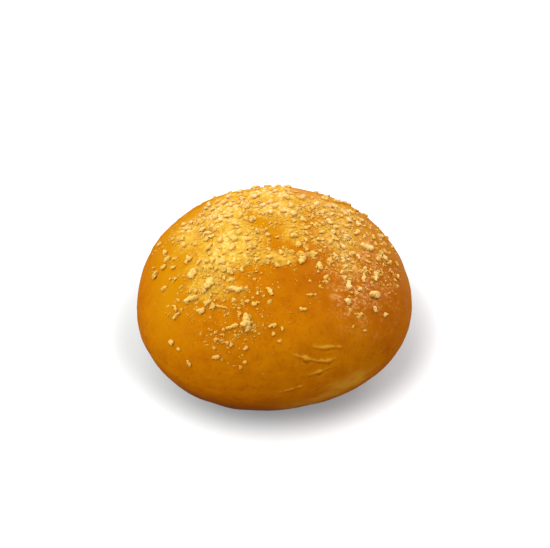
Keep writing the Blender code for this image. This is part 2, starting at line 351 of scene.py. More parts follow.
def profile_parts():
    """Radius and height down the dome, down the foot and in along the base, evenly spaced in each."""
    quarter = [math.pi / 2 * step / PROFILE_STEPS for step in range(PROFILE_STEPS + 1)]
    dome = []
    for turn in reversed(quarter):
        across, up = superellipse(turn, DOME_FULLNESS)
        dome.append((BUN_RADIUS * across, WIDEST_HEIGHT + (BUN_HEIGHT - WIDEST_HEIGHT) * up))
    foot = []
    for turn in quarter:
        across, down = superellipse(turn, FOOT_FULLNESS)
        foot.append((BASE_RADIUS + (BUN_RADIUS - BASE_RADIUS) * across, WIDEST_HEIGHT * (1.0 - down)))
    base = [(BASE_RADIUS, 0.0), (0.0, 0.0)]
    return [evenly_spaced(part, PROFILE_STEPS + 1) for part in (dome, foot, base)]


def on_profile(parts, share):
    """Radius and height at this share of the way from the top of the bun to the middle of its base."""
    for part, ring_share in zip(parts, RING_SHARES):
        if share <= ring_share or part is parts[-1]:
            step = min(share / ring_share, 1.0) * PROFILE_STEPS
            low = min(int(step), PROFILE_STEPS - 1)
            start, end = part[low], part[low + 1]
            return tuple(a + (b - a) * (step - low) for a, b in zip(start, end))
        share -= ring_share


def smooth_step(low, high, value):
    """0 below low, 1 above high, and a smooth rise between them."""
    part = min(max((value - low) / (high - low), 0.0), 1.0)
    return part * part * (3.0 - 2.0 * part)


def crumbs_lying(x, y):
    """How thickly crumbs lie at a place in plan: about 1 in the middle of a drift."""
    thick = 0.0
    for drift_x, drift_y, half_width, half_depth, share in SMALL_CRUMB_DRIFTS:
        off = ((x - drift_x) / half_width) ** 2 + ((y - drift_y) / half_depth) ** 2
        thick += DRIFT_THICKNESS * share / (half_width * half_depth) * math.exp(-2.0 * off)
    for bare_x, bare_y, radius in SMALL_CRUMB_BARE_SPOTS:
        thick *= smooth_step(0.3, 1.2, math.hypot(x - bare_x, y - bare_y) / radius)
    return thick


def looseness(x, y):
    """How much thicker crumbs must lie here than in the left drift before the finest make a skin."""
    right = LOOSE_ON_RIGHT * smooth_step(*LOOSE_X, x) * (1.0 - 0.6 * smooth_step(*LOOSE_FADES_Y, y))
    front = smooth_step(*LOOSE_FRONT_Y, y) + LOOSER_LOW_IN_FRONT * smooth_step(*LOOSER_FRONT_Y, y)
    return max(right, LOOSE_IN_FRONT * front)


def clinging(x, y):
    """Crumbs cling together in patches: above 0 in a patch, and below 0 in the gaps between them."""
    place = Vector((x, y, 0.0))
    return noise.noise(place / PATCH_SPACING) + 0.6 * noise.noise(place / LUMP_SPACING)


def crumb_paste(place):
    """How far the finest crumbs cover the crust here, from 0 to 1, and how high they are pressed up."""
    if place.z < WIDEST_HEIGHT:
        return 0.0, 0.0
    patches = 0.35 * clinging(place.x, place.y) + 0.15 * noise.noise(place / SPECK_SPACING)
    lying = crumbs_lying(place.x, place.y) + patches - looseness(place.x, place.y)
    cover = smooth_step(*PASTE_COVER, lying)
    warped = place + 0.6 * MM * noise.noise_vector(place / SPECK_SPACING)
    near, next_near = noise.voronoi(warped / LUMP_SPACING)[0][:2]
    lump = smooth_step(0.0, 0.4, next_near - near) * (0.7 + 0.5 * noise.noise(place / DIMPLE_SPACING))
    return cover, cover * lump


def crumb_dust(place):
    """How far crumb dust tints the crust here, from 0 to 1."""
    if place.z < WIDEST_HEIGHT:
        return 0.0
    patches = 0.10 * noise.noise(place / PATCH_SPACING) + 0.10 * noise.noise(place / SPECK_SPACING)
    loose = 0.5 * looseness(place.x, place.y)
    return smooth_step(*DUST_COVER, crumbs_lying(place.x, place.y) + patches - loose)


def crease(azimuth, height):
    """The wrinkles here: above 0 on a ridge, and below 0 in the groove under it."""
    depth = 0.0
    for middle, middle_height, length, fall in WRINKLES:
        along = (azimuth - middle) * side_radius(middle_height) / (length / 2)
        if abs(along) < 1.0:
            bend = 0.4 * WRINKLE_WIDTH * noise.noise(Vector((along * 2.0, middle_height / MM, 0.0)))
            broken = noise.noise(Vector((along * 3.5, middle_height / MM, 5.0)))
            half_width = WRINKLE_WIDTH * (0.5 + 0.4 * broken)
            across = (height - middle_height + along * fall / 2 + bend) / half_width
            fade = (1.0 - along * along) * (0.85 + 0.9 * broken)
            depth += fade * (math.exp(-across * across) - 0.8 * math.exp(-((across + 1.6) ** 2) * 1.5))
    return depth


def stretch_lines(azimuth, height):
    """Fine lines round the bun where the skin stretched, strongest low on the front."""
    low = smooth_step(*STRETCHED_Z, height) * (1.0 - smooth_step(*STRETCH_ENDS_Z, height))
    round_place = Vector((azimuth * BUN_RADIUS / STRETCH_LENGTH, height / STRETCH_SPACING, 0.0))
    return low * noise.noise(round_place)


def egg_gloss(place):
    """How glossy the egg wash dried here, from 0 to 1. The crust's colour also takes a painted sheen from
    it.
    """
    if place.z < WIDEST_HEIGHT:
        return 0.0
    gloss = 0.0
    for x, y, reach, strength in GLOSS_PLACES:
        gloss += strength * math.exp(-((math.hypot(place.x - x, place.y - y) / reach) ** 2))
    streaks = 0.55 + 1.3 * noise.noise(place / DIMPLE_SPACING) + 0.9 * noise.noise(place / SPECK_SPACING)
    return min(max(gloss * streaks, 0.0), 1.0)


def underbaked(place):
    """How pale the low side is here, where the dough stayed soft."""
    pale = 0.0
    for x, y, height, reach, strength in PALE_PLACES:
        off = place - Vector((x, y, height))
        off.z *= 1.7
        pale += strength * math.exp(-off.length_squared / reach**2)
    streaks = 0.7 + 0.9 * noise.noise(Vector((place.x, place.y, 1.6 * place.z)) / PATCH_SPACING)
    return min(pale * max(streaks, 0.0), 1.0)


def bun_collection():
    """The collection that holds the bun's own pieces."""
    if "bun" not in bpy.data.collections:
        bpy.context.scene.collection.children.link(bpy.data.collections.new("bun"))
    return bpy.data.collections["bun"]


def new_piece(name, mesh, material):
    """A mesh object at the world origin with this material."""
    piece = bpy.data.objects.new(name, mesh)
    bun_collection().objects.link(piece)
    mesh.materials.append(material)
    return piece


def near_base_edge(height, place):
    """True close to the edge between the foot and the flat base."""
    return height < BASE_EDGE_HEIGHT and math.hypot(place.x, place.y) > BASE_EDGE_SHARE * BASE_RADIUS


def build_crust(settings):
    """The bun's skin, with its hills, wrinkles and the finest crumbs pressed into it."""
    noise.seed_set(NOISE_SEED)
    bm = bmesh.new()
    bmesh.ops.create_cube(bm, size=2.0)
    bmesh.ops.subdivide_edges(bm, edges=bm.edges[:], cuts=CRUST_CUTS, use_grid_fill=True)
    paste_layer = bm.verts.layers.float.new("crumb_paste")
    lump_layer = bm.verts.layers.float.new("paste_lump")
    crease_layer = bm.verts.layers.float.new("crease")
    pale_layer = bm.verts.layers.float.new("underbaked")
    gloss_layer = bm.verts.layers.float.new("egg_gloss")
    dust_layer = bm.verts.layers.float.new("crumb_dust")
    parts = profile_parts()
    turned = {}
    for vertex in bm.verts:
        way = vertex.co.normalized()
        radius, height = on_profile(parts, math.acos(max(min(way.z, 1.0), -1.0)) / math.pi)
        azimuth = math.atan2(way.y, way.x)
        vertex.co = shaped(radius, azimuth, height)
        turned[vertex] = (azimuth, height)
    base_edge = [v for v in bm.verts if near_base_edge(turned[v][1], v.co)]
    for _ in range(EDGE_SMOOTHINGS):
        bmesh.ops.smooth_vert(bm, verts=base_edge, factor=0.5, **ALL_AXES)
    bm.normal_update()
    outward = {vertex: vertex.normal.copy() for vertex in bm.verts}
    for vertex in bm.verts:
        azimuth, height = turned[vertex]
        place = vertex.co.copy()
        cover, lump = crumb_paste(place)
        fold = crease(azimuth, height)
        hills = noise.noise(place / HILL_SPACING) + 0.35 * noise.noise(place / DIMPLE_SPACING)
        off_base = smooth_step(0.0, FLAT_BELOW, place.z)
        rise = off_base * settings.hill_height * hills
        rise += off_base * settings.stretch_height * stretch_lines(azimuth, height)
        rise += settings.wrinkle_height * fold
        gloss = egg_gloss(place) * (1.0 - cover)
        rise += gloss * settings.peel_height * noise.noise(place / SPECK_SPACING)
        rise += settings.paste_height * (0.6 * cover + 0.4 * lump)
        vertex.co = place + outward[vertex] * rise
        vertex[paste_layer] = cover
        vertex[lump_layer] = lump
        vertex[crease_layer] = fold
        vertex[pale_layer] = underbaked(place)
        vertex[gloss_layer] = gloss
        vertex[dust_layer] = crumb_dust(place)
    bmesh.ops.translate(bm, verts=bm.verts[:], vec=CENTRING)
    bmesh.ops.recalc_face_normals(bm, faces=bm.faces[:])
    mesh = bpy.data.meshes.new("crust")
    bm.to_mesh(mesh)
    bm.free()
    mesh.shade_smooth()
    return mesh


def in_bare_spot(x, y):
    return any(math.hypot(x - bare_x, y - bare_y) < radius for bare_x, bare_y, radius in BARE_SPOTS)


def scatter_crumbs(draw):
    """Places and sizes of the scattered crumbs, largest first, drawn as the solid's are."""
    taken = [(x, y, length) for x, y, length, *_ in LONE_LUMPS]
    shares = [drift[-1] for drift in CRUMB_DRIFTS]
    crumbs = []
    for rank in range(CRUMB_COUNT):
        shrink = (CRUMB_SMALLEST / CRUMB_LARGEST) ** (rank / (CRUMB_COUNT - 1))
        size = CRUMB_LARGEST * shrink
        for _ in range(CRUMB_TRIES):
            drift_x, drift_y, half_width, half_depth, _ = draw.choices(CRUMB_DRIFTS, shares)[0]
            x = draw.gauss(drift_x, half_width / 2)
            y = draw.gauss(drift_y, half_depth / 2)
            near = any(
                math.hypot(x - other_x, y - other_y) < CRUMB_SPACING * (size + other)
                for other_x, other_y, other in taken
            )
            if not near and not in_bare_spot(x, y) and math.hypot(x, y) < CRUMB_REACH:
                break
        else:
            continue
        length = size * draw.uniform(1.0, 1.3)
        width = size * draw.uniform(0.75, 1.0)
        crumbs.append((x, y, length, width, draw.uniform(0.0, math.pi)))
        taken.append((x, y, size))
    return crumbs


class CrustBelow:
    """Finds the crust straight under a place in plan, once the crust is made."""

    def __init__(self):
        crust = bpy.data.objects.get("crust")
        if crust is None:
            raise RuntimeError("the crust is made before the crumbs that lie on it")
        bm = bmesh.new()
        bm.from_mesh(crust.data)
        self.tree = BVHTree.FromBMesh(bm)
        bm.free()

    def frame(self, x, y, facing):
        """A matrix on the crust: Z out of it, X turned to face this way. None where no crust is."""
        above = Vector((x, y, 2 * BUN_HEIGHT)) + Vector(CENTRING)
        place, outward, _, _ = self.tree.ray_cast(above, Vector((0, 0, -1)))
        if place is None:
            return None
        along = Vector((math.cos(facing), math.sin(facing), 0.0))
        along = (along - outward * along.dot(outward)).normalized()
        matrix = Matrix((along, outward.cross(along), outward)).transposed().to_4x4()
        matrix.translation = place
        return matrix


def broken_ball(bm, subdivisions, matrix, lumpiness, draw):
    """A ball pushed in and out by noise and broken flat on a few sides, then placed by the matrix."""
    made = bmesh.ops.create_icosphere(bm, subdivisions=subdivisions, radius=0.5)["verts"]
    shift = Vector([draw.uniform(-50.0, 50.0) for _ in range(3)])
    breaks = []
    for _ in range(BREAKS):
        out = Vector([draw.gauss(0.0, 1.0) for _ in range(3)]).normalized()
        breaks.append((out, draw.uniform(*BREAK_REACH)))
    for vertex in made:
        push = noise.noise(vertex.co * 2.4 + shift) + 0.7 * noise.noise(vertex.co * 5.0 + shift)
        place = vertex.co * (1.0 + lumpiness * push)
        for out, reach in breaks:
            place -= out * max(place.dot(out) - reach, 0.0)
        vertex.co = matrix @ place


def gathered(name, batches):
    """One mesh of many crumbs. Each batch is first a small mesh, which is quicker to add to."""
    whole = bmesh.new()
    for add_batch in batches:
        bm = bmesh.new()
        add_batch(bm)
        mesh = bpy.data.meshes.new("batch")
        bm.to_mesh(mesh)
        bm.free()
        whole.from_mesh(mesh)
        bpy.data.meshes.remove(mesh)
    mesh = bpy.data.meshes.new(name)
    whole.to_mesh(mesh)
    whole.free()
    return mesh


CrumbKind = namedtuple(
    "CrumbKind", "name count largest smallest spread most_in_clump clump_reach subdivisions"
)


def any_turn(draw, most=math.pi):
    """A turn about each axis by up to this much."""
    return Euler([draw.uniform(-most, most) for _ in range(3)]).to_matrix().to_4x4()


def add_lump(bm, below, lump, draw):
    """A few balls of dough in a row along the lump, overlapping."""
    x, y, length, width, facing = lump
    thick = 0.8 * width
    on_crust = below.frame(x, y, facing)
    balls = 4 + round(2.6 * length / width)
    for ball in range(balls):
        size = width * draw.uniform(0.36, 0.74)
        along = (ball / (balls - 1) - 0.5) * (length - size)
        aside = draw.uniform(-0.5, 0.5) * (width - size)
        up = (CRUMB_SHARE_SHOWING - 0.5) * thick + draw.uniform(-0.35, 0.45) * (thick - size)
        place = on_crust @ Matrix.Translation((along, aside, up)) @ any_turn(draw) @ Matrix.Scale(size, 4)
        broken_ball(bm, 2, place, 0.5, draw)


def build_large_crumbs(settings):
    """Each large crumb is a few balls of dough stuck together, to be grown into one rough lump."""
    below = CrustBelow()
    lumps = [*LONE_LUMPS, *scatter_crumbs(random.Random(CRUMB_SEED)), *FRONT_LUMPS]
    draw = random.Random(settings.seed)
    batches = [partial(add_lump, below=below, lump=lump, draw=draw) for lump in lumps]
    return gathered("large_crumbs", batches)


def grow_together(piece):
    """Remeshes the piece, so that what touches is one skin, then roughens that skin."""
    remesh = piece.modifiers.new("Grown together", "REMESH")
    remesh.mode = "VOXEL"
    remesh.voxel_size = LUMP_VOXEL
    graph = bpy.context.evaluated_depsgraph_get()
    grown = bpy.data.meshes.new_from_object(piece.evaluated_get(graph))
    piece.modifiers.clear()
    bm = bmesh.new()
    bm.from_mesh(grown)
    bmesh.ops.smooth_vert(bm, verts=bm.verts[:], factor=0.5, **ALL_AXES)
    bm.normal_update()
    outward = {vertex: vertex.normal.copy() for vertex in bm.verts}
    for vertex in bm.verts:
        rough = noise.noise(vertex.co / ROUGH_SPACING) + 0.6 * noise.noise(2 * vertex.co / ROUGH_SPACING)
        vertex.co += outward[vertex] * (ROUGH_HEIGHT * rough + LUMP_GROWTH)
    bm.to_mesh(grown)
    bm.free()
    piece.data = grown


def mark_soak_and_shade(piece):
    """Marks how near each point is to the crust, where the crumb is made darker orange: painted shade, with
    egg wash taken up there.
    """
    crust = CrustBelow().tree
    soaked_shade = piece.data.attributes.new("soaked_shade", "FLOAT", "POINT")
    for vertex in piece.data.vertices:
        place, outward, _, _ = crust.find_nearest(vertex.co)
        above = (vertex.co - place).dot(outward)
        soaked_shade.data[vertex.index].value = 1.0 - smooth_step(0.0, SOAK_AND_SHADE_HEIGHT, above)


def stays(x, y):
    """The chance that a crumb which falls here stays: few do in the bare spots."""
    gap = 1.0 - smooth_step(-0.28, 0.10, clinging(x, y))
    chance = 1.0 - gap * (0.45 + 0.45 * smooth_step(*PATCHY_X, x))
    for bare_x, bare_y, radius in SMALL_CRUMB_BARE_SPOTS:
        chance *= 0.25 + 0.75 * smooth_step(0.4, 1.05, math.hypot(x - bare_x, y - bare_y) / radius)
    return chance


def small_crumb_places(kind, draw):
    """Where the crumbs of one kind lie, thickest in the drifts and in clumps, and how large each is."""
    below = CrustBelow()
    shares = [drift[-1] for drift in SMALL_CRUMB_DRIFTS]
    places = []
    while len(places) < kind.count:
        drift_x, drift_y, half_width, half_depth, _ = draw.choices(SMALL_CRUMB_DRIFTS, shares)[0]
        middle_x = draw.gauss(drift_x, kind.spread * half_width / 2)
        middle_y = draw.gauss(drift_y, kind.spread * half_depth / 2)
        for _ in range(draw.randint(1, kind.most_in_clump)):
            x = draw.gauss(middle_x, kind.clump_reach)
            y = draw.gauss(middle_y, kind.clump_reach)
            on_crust = below.frame(x, y, draw.uniform(0.0, math.tau))
            if on_crust is None or math.hypot(x, y) > CRUMB_REACH or draw.random() > stays(x, y):
                continue
            size = kind.smallest * (kind.largest / kind.smallest) ** (draw.random() ** 1.3)
            squash = Matrix.Diagonal((1.0, draw.uniform(0.55, 1.0), draw.uniform(0.35, 0.8), 1.0))
            sunk = 0.34 * smooth_step(0.3, 0.7, crumbs_lying(x, y) - looseness(x, y))
            sunk += 0.4 * smooth_step(*PRESSED_DOWN_Y, y)
            up = Matrix.Translation((0, 0, (draw.uniform(-0.22, 0.12) - sunk) * size))
            places.append(on_crust @ up @ any_turn(draw, 0.6) @ squash @ Matrix.Scale(size, 4))
    return places


def add_crumbs(bm, places, subdivisions, draw):
    for place in places:
        broken_ball(bm, subdivisions, place, 0.8, draw)


def build_small_crumbs(name, places, subdivisions, draw):
    """Crumbs of one kind, as one mesh."""
    batches = []
    for first in range(0, len(places), CRUMBS_IN_BATCH):
        some = places[first : first + CRUMBS_IN_BATCH]
        batches.append(partial(add_crumbs, places=some, subdivisions=subdivisions, draw=draw))
    return gathered(name, batches)


def node(tree, kind, inputs=None, **settings):
    """A new node. settings are its own properties, and inputs gives sockets a value or a link."""
    made = tree.nodes.new(kind)
    for name, value in settings.items():
        setattr(made, name, value)
    for socket, value in (inputs or {}).items():
        if isinstance(value, bpy.types.NodeSocket):
            tree.links.new(value, made.inputs[socket])
        else:
            made.inputs[socket].default_value = value
    return made


def noise_field(tree, vector, spacing, detail=2.0, roughness=0.5):
    """Noise from 0 to 1 with features about this far apart."""
    inputs = {"Vector": vector, "Scale": 1.0 / spacing, "Detail": detail, "Roughness": roughness}
    return node(tree, "ShaderNodeTexNoise", inputs).outputs["Fac"]


def sum_of(tree, first, second, operation="ADD"):
    return node(tree, "ShaderNodeMath", {0: first, 1: second}, operation=operation).outputs[0]


def times(tree, first, second):
    return sum_of(tree, first, second, "MULTIPLY")


def ranged(tree, value, low, high, to_low=0.0, to_high=1.0):
    """The value carried smoothly from one range to another, and held at its ends."""
    inputs = {"Value": value, "From Min": low, "From Max": high, "To Min": to_low, "To Max": to_high}
    return node(tree, "ShaderNodeMapRange", inputs, interpolation_type="SMOOTHSTEP").outputs["Result"]


def blend(tree, factor, first, second):
    """The second colour mixed over the first."""
    made = node(tree, "ShaderNodeMix", data_type="RGBA")
    for socket, value in ((made.inputs[0], factor), (made.inputs[6], first), (made.inputs[7], second)):
        if isinstance(value, bpy.types.NodeSocket):
            tree.links.new(value, socket)
        else:
            socket.default_value = value
    return made.outputs[2]


def group_inputs(tree, names):
    """Gives a node group its float inputs with their defaults, and returns their outputs inside it."""
    tree.interface.new_socket("Vector", in_out="INPUT", socket_type="NodeSocketVector")
    for name, default in names.items():
        socket = tree.interface.new_socket(name, in_out="INPUT", socket_type="NodeSocketFloat")
        socket.default_value = default
    return tree.nodes.new("NodeGroupInput").outputs


def group_output(tree, **results):
    """Gives a node group its float outputs."""
    for name in results:
        tree.interface.new_socket(name, in_out="OUTPUT", socket_type="NodeSocketFloat")
    end = tree.nodes.new("NodeGroupOutput")
    for name, result in results.items():
        tree.links.new(result, end.inputs[name])


def browning_and_painted_shade():
    """Node group: how brown the bun is made here. Real browning in patches; browner to the right, which is
    real browning with painted shade; darker at the left rim, which is painted shade; and darker low down,
    which is painted shade with some real browning.
    """
    if "Oven browning" in bpy.data.node_groups:
        return bpy.data.node_groups["Oven browning"]
    tree = bpy.data.node_groups.new("Oven browning", "ShaderNodeTree")
    given = group_inputs(tree, {"Patchiness": 0.3})
    place = node(tree, "ShaderNodeSeparateXYZ", {0: given["Vector"]}).outputs
    # Browner from left to right: real browning, and painted shade on the side away from the key light.
    middle = ranged(tree, place["X"], *MIDDLE_BROWNING_AND_SHADE_X, 0.0, 0.46)
    middle = times(tree, middle, ranged(tree, place["Y"], *FRONT_BROWNED_Y, 0.15, 1.0))
    right = sum_of(tree, middle, ranged(tree, place["X"], *RIGHT_BROWNING_AND_SHADE_X, 0.0, 0.2))
    right = times(tree, right, ranged(tree, place["Z"], *RIGHT_BROWNING_AND_SHADE_Z, 0.15, 1.0))
    # Painted shade: darker at the left rim.
    sides = sum_of(tree, right, ranged(tree, place["X"], *PAINTED_SHADE_LEFT_RIM_X, 0.0, 0.3))
    # Painted shade, with some real browning: darker low down, most on the left.
    low = ranged(tree, place["Z"], *LOW_PAINTED_SHADE_Z, 0.0, 0.95)
    low = times(tree, low, ranged(tree, place["X"], *LOW_PAINTED_SHADE_X, 1.0, 0.3))
    patches = noise_field(tree, given["Vector"], BROWNING_SPACING, 3.0)
    patches = times(tree, sum_of(tree, patches, 0.5, "SUBTRACT"), given["Patchiness"])
    browned_and_shaded = sum_of(tree, sum_of(tree, sides, low), patches)
    group_output(tree, Browned=ranged(tree, browned_and_shaded, 0.0, 1.0))
    return tree


def baked_grain():
    """Node group: the fine uneven grain of baked dough, as a height and as a mottle for the colour."""
    if "Baked grain" in bpy.data.node_groups:
        return bpy.data.node_groups["Baked grain"]
    tree = bpy.data.node_groups.new("Baked grain", "ShaderNodeTree")
    given = group_inputs(tree, {"Fineness": 1000.0})
    inputs = {"Vector": given["Vector"], "Scale": given["Fineness"], "Detail": 4.0}
    coarse = node(tree, "ShaderNodeTexNoise", inputs)
    inputs = {"Vector": given["Vector"], "Scale": times(tree, given["Fineness"], 3.1), "Detail": 2.0}
    fine = node(tree, "ShaderNodeTexNoise", inputs)
    height = sum_of(tree, coarse.outputs["Fac"], times(tree, fine.outputs["Fac"], 0.4))
    group_output(tree, Height=height, Mottle=ranged(tree, coarse.outputs["Fac"], 0.3, 0.7))
    return tree


def new_material(name):
    """A material with its Principled shader and the place on the object that its patterns read."""
    material = bpy.data.materials.new(name)
    material.use_nodes = True
    tree = material.node_tree
    place = node(tree, "ShaderNodeTexCoord").outputs["Object"]
    return material, tree, tree.nodes["Principled BSDF"], place


def grouped(tree, group, place, **values):
    """A node group placed in a material with its own values."""
    made = node(tree, "ShaderNodeGroup", node_tree=group)
    tree.links.new(place, made.inputs["Vector"])
    for name, value in values.items():
        made.inputs[name].default_value = value
    return made.outputs


def surface_attribute(tree, name):
    return node(tree, "ShaderNodeAttribute", attribute_name=name).outputs["Fac"]


def bump_with_grain(tree, shader, grain, strength, distance):
    """Raises the grain in the shader's normal."""
    inputs = {"Height": grain["Height"], "Strength": strength, "Distance": distance}
    bump = node(tree, "ShaderNodeBump", inputs)
    tree.links.new(bump.outputs["Normal"], shader.inputs["Normal"])


def pale_crumb_colour(tree, where, settings):
    """The pale crumb's colour, with painted sheen: paler towards the back and the right of the bun, where
    the window light behind on the right shines on the crumbs.
    """
    back = ranged(tree, where["Y"], *SHEEN_BACK_Y)
    right = ranged(tree, where["X"], *SHEEN_RIGHT_X, 0.0, 0.85)
    painted_sheen = sum_of(tree, back, right, "MAXIMUM")
    return blend(tree, painted_sheen, (*settings.pale, 1.0), (*settings.palest_with_sheen, 1.0))


def towards_back_left(tree, where):
    """How far back a place is, and on the left also how far left."""
    leftwards = times(tree, sum_of(tree, where["X"], 0.0, "MINIMUM"), 0.8)
    return sum_of(tree, where["Y"], leftwards, "SUBTRACT")


def bare_crust_colour(tree, place, where, browned_and_shaded, settings):
    """Golden crust with painted light over the top towards the back left, pale wrinkles with painted shade
    in their grooves, and a dark foot of painted shade.
    """
    brown = (*settings.browned_and_shaded, 1.0)
    painted_shade = (*settings.painted_shade, 1.0)
    stretched = (*settings.stretched, 1.0)
    crust = blend(tree, browned_and_shaded, (*settings.golden, 1.0), brown)
    blotches = ranged(tree, noise_field(tree, place, BLOTCH_SPACING, 5.0, 0.6), 0.35, 0.75, 0.0, 0.42)
    crust = blend(tree, blotches, crust, brown)
    flecks = ranged(tree, noise_field(tree, place, FLECK_SPACING, 3.0, 0.6), 0.54, 0.7, 0.0, 0.4)
    crust = blend(tree, flecks, crust, brown)
    back_left = towards_back_left(tree, where)
    # Painted light: lighter over the top towards the back left, where the key light falls.
    painted_light = ranged(tree, browned_and_shaded, 0.2, 0.9, 1.0, 0.3)
    painted_light = times(tree, painted_light, ranged(tree, back_left, *PAINTED_LIGHT_BACK_LEFT))
    painted_light = times(tree, painted_light, ranged(tree, back_left, *PAINTED_LIGHT_ENDS_BACK_LEFT, 1.0, 0.0))
    painted_light = times(tree, painted_light, ranged(tree, where["Z"], *PAINTED_LIGHT_Z))
    painted_light = times(tree, painted_light, ranged(tree, where["X"], *PAINTED_LIGHT_X))
    crust = blend(tree, painted_light, crust, (*settings.lightest, 1.0))
    crust = blend(tree, surface_attribute(tree, "underbaked"), crust, stretched)
    fold = surface_attribute(tree, "crease")
    crust = blend(tree, ranged(tree, fold, 0.1, 0.7, 0.0, 0.8), crust, stretched)
    # Painted shade in the grooves under the wrinkles.
    crust = blend(tree, ranged(tree, fold, -0.15, -0.7, 0.0, 0.4), crust, painted_shade)
    # Painted shade: a dark foot, most on the left.
    foot = ranged(tree, where["Z"], *SHADED_FOOT_Z, 0.0, 0.85)
    foot = times(tree, foot, ranged(tree, where["X"], *SHADED_FOOT_X, 1.0, 0.25))
    return blend(tree, foot, crust, painted_shade)


def dusted_crust_colour(tree, place, where, crust, settings, crumb_settings):
    """The crust between the crumbs, with butter and fine dust on it."""
    dust = surface_attribute(tree, "crumb_dust")
    back_left = towards_back_left(tree, where)
    dust = times(tree, dust, ranged(tree, back_left, *DUST_ENDS_BACK_LEFT, 1.0, 0.1))
    buttery = times(tree, dust, ranged(tree, where["X"], *BUTTERY_X, 0.75, 0.1))
    crust = blend(tree, buttery, crust, (*settings.buttery, 1.0))
    dusted = ranged(tree, noise_field(tree, place, DUST_SPACING, 2.0), 0.35, 0.62, 0.1, 0.75)
    return blend(tree, times(tree, dust, dusted), crust, (*crumb_settings.pressed, 1.0))


def paste_colour(tree, place, where, settings):
    """The finest crumbs pressed into the crust: pale on their lumps, and darker between them, which is
    painted shade in the hollows with egg wash taken up there.
    """
    lump = surface_attribute(tree, "paste_lump")
    pale_crumb = pale_crumb_colour(tree, where, settings)
    # Painted shade: the lumps are darker low down and between them, with egg wash taken up there.
    paste = blend(tree, ranged(tree, lump, 0.25, 0.6), (*settings.pressed, 1.0), pale_crumb)
    paste = blend(tree, ranged(tree, lump, 0.3, 0.0, 0.0, 0.8), paste, (*settings.soaked_shade, 1.0))
    toasting = ranged(tree, noise_field(tree, place, TOASTING_SPACING, 3.0), 0.42, 0.7, 0.0, 0.7)
    return blend(tree, toasting, paste, (*settings.toasted, 1.0))


def crust_material(settings, crumb_settings):
    """Egg-washed crust: golden above, browner to the right and darker low down, partly real browning and
    partly painted shade, with crumb paste pressed into it.
    """
    material, tree, shader, place = new_material("egg_washed_crust")
    where = node(tree, "ShaderNodeSeparateXYZ", {0: place}).outputs
    browned_and_shaded = grouped(tree, browning_and_painted_shade(), place, Patchiness=0.5)["Browned"]
    grain = grouped(tree, baked_grain(), place, Fineness=900.0)
    crust = bare_crust_colour(tree, place, where, browned_and_shaded, settings)
    # Painted sheen: at the glossy places lighter pinkish streaks are laid into the crust's colour, over the
    # real coat of egg wash.
    gloss_and_sheen_place = surface_attribute(tree, "egg_gloss")
    dried = ranged(tree, noise_field(tree, place, SHEEN_STREAK_SPACING, 3.0), 0.46, 0.62, 0.0, 0.9)
    crust = blend(tree, times(tree, gloss_and_sheen_place, dried), crust, (*settings.wash_and_painted_sheen, 1.0))
    crust = dusted_crust_colour(tree, place, where, crust, settings, crumb_settings)
    paste = paste_colour(tree, place, where, crumb_settings)
    cover = surface_attribute(tree, "crumb_paste")
    covered = times(tree, cover, ranged(tree, grain["Mottle"], 0.0, 1.0, 0.8, 1.0))
    tree.links.new(blend(tree, covered, crust, paste), shader.inputs["Base Color"])
    glossy = ranged(tree, browned_and_shaded, 0.1, 0.8, 0.62, 0.36)
    glossy = sum_of(tree, glossy, ranged(tree, grain["Mottle"], 0.0, 1.0, -0.05, 0.05))
    roughness = node(tree, "ShaderNodeMix", {0: covered, 2: glossy, 3: 0.8}, data_type="FLOAT").outputs[0]
    tree.links.new(roughness, shader.inputs["Roughness"])
    shader.inputs["Specular IOR Level"].default_value = 0.015
    gleams = ranged(tree, noise_field(tree, place, GLEAM_SPACING, 2.0), 0.38, 0.6, 0.25, 1.0)
    gloss = times(tree, times(tree, gloss_and_sheen_place, gleams), 0.5)
    tree.links.new(gloss, shader.inputs["Coat Weight"])
    shader.inputs["Coat Roughness"].default_value = 0.34
    bump_with_grain(tree, shader, grain, strength=0.35, distance=0.12 * MM)
    return material


